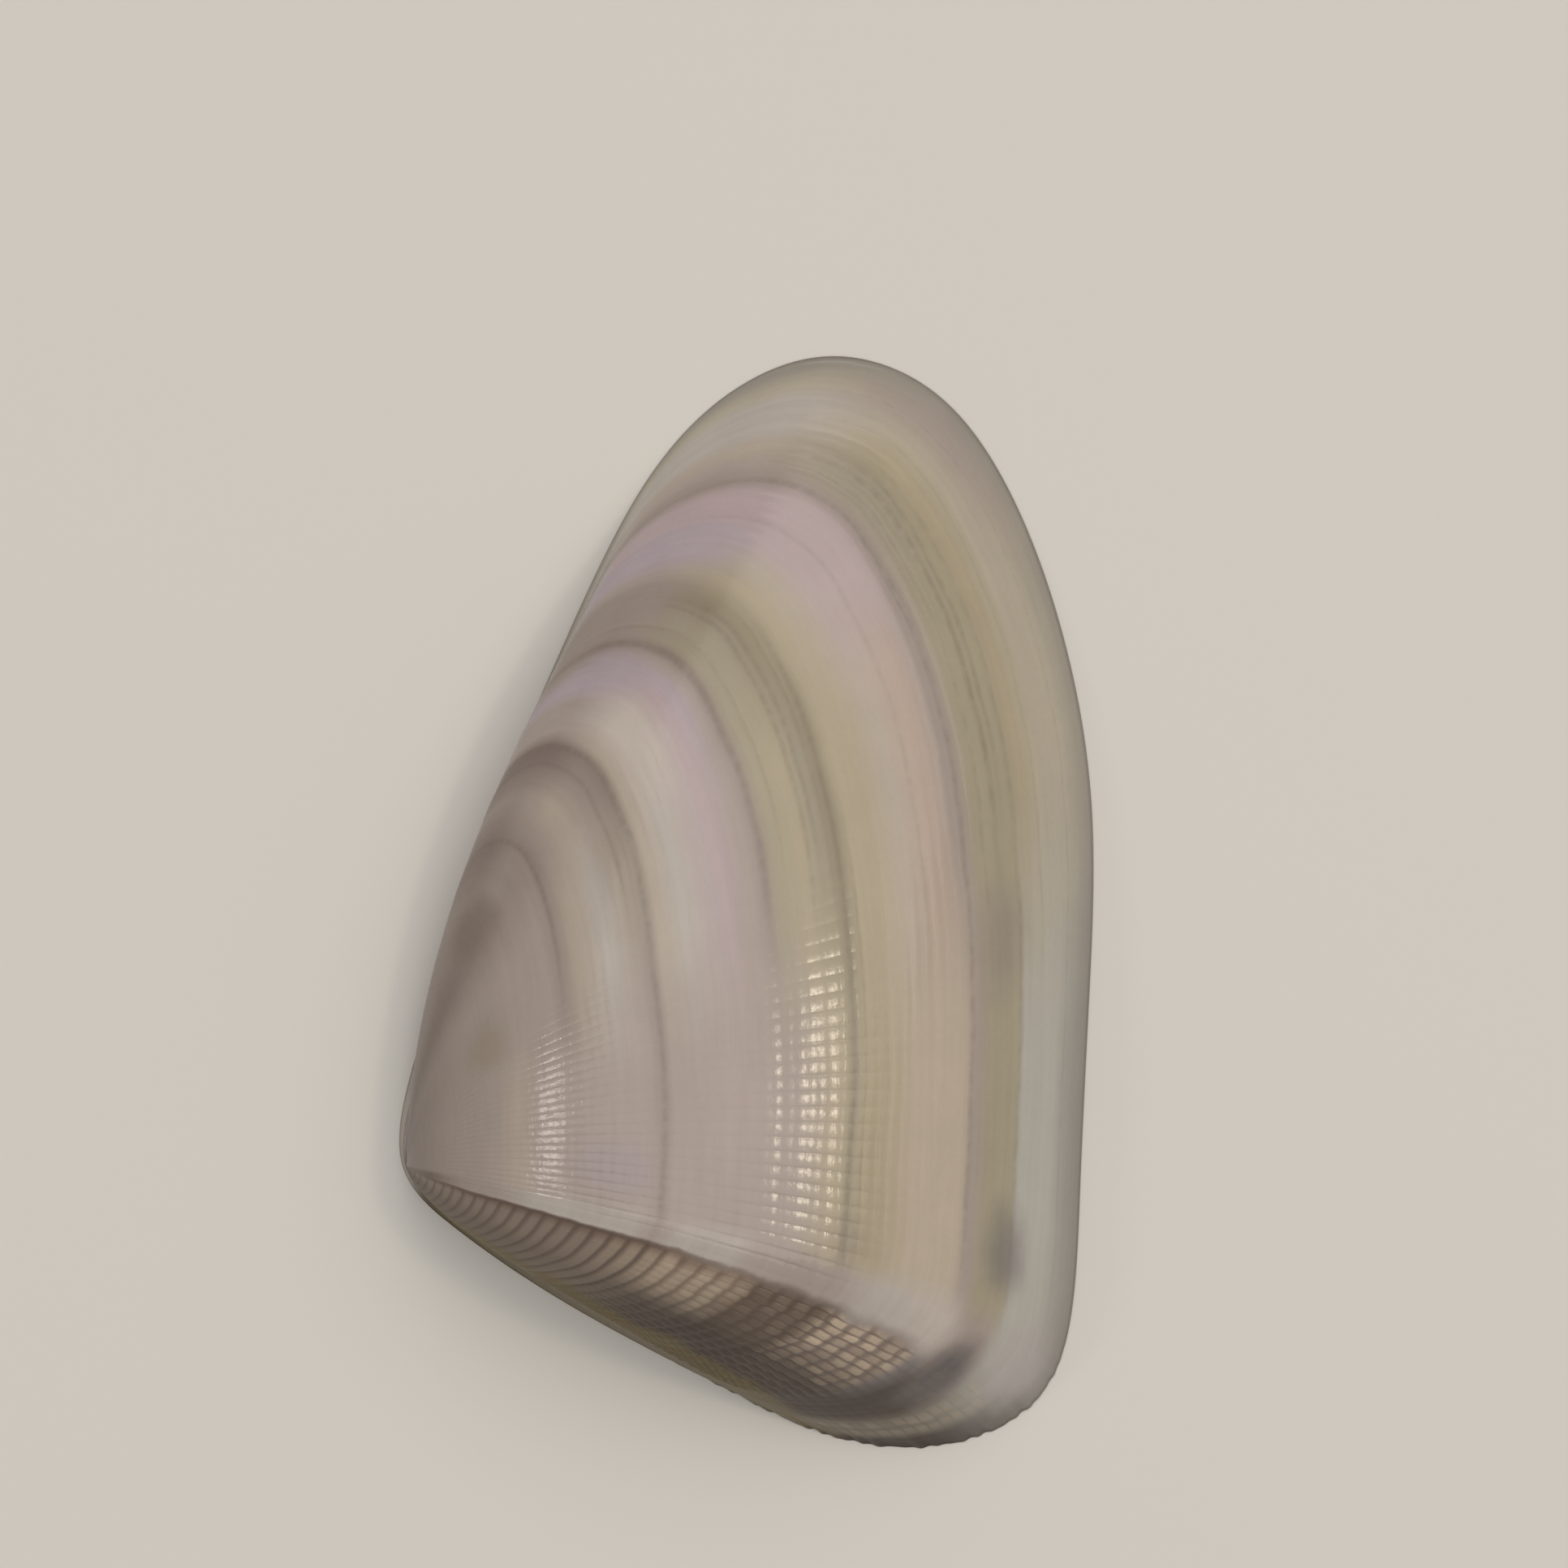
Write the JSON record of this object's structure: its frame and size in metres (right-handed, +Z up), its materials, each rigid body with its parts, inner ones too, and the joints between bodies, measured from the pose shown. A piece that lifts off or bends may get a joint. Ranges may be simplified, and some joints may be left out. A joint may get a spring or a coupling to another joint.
{
  "type": "wedge clam shell valve",
  "caption": "Single empty valve of a wedge clam: a smooth polished triangular seashell half with growth bands, a beaded rear slope and a hinge plate inside.",
  "frame": {"origin": "middle of the bounding box, on the plane of the flat rim that the valve rests on", "axes": "+Y along the shell towards its rounded front end, +X from the beak and hinge towards the free edge, +Z up through the vault"},
  "size_m": [0.0242, 0.038, 0.008],
  "materials": {
    "shell": "satin polished aragonite"
  },
  "bodies": {
    "root": {"right_valve": "shell"}
  },
  "joints": []
}
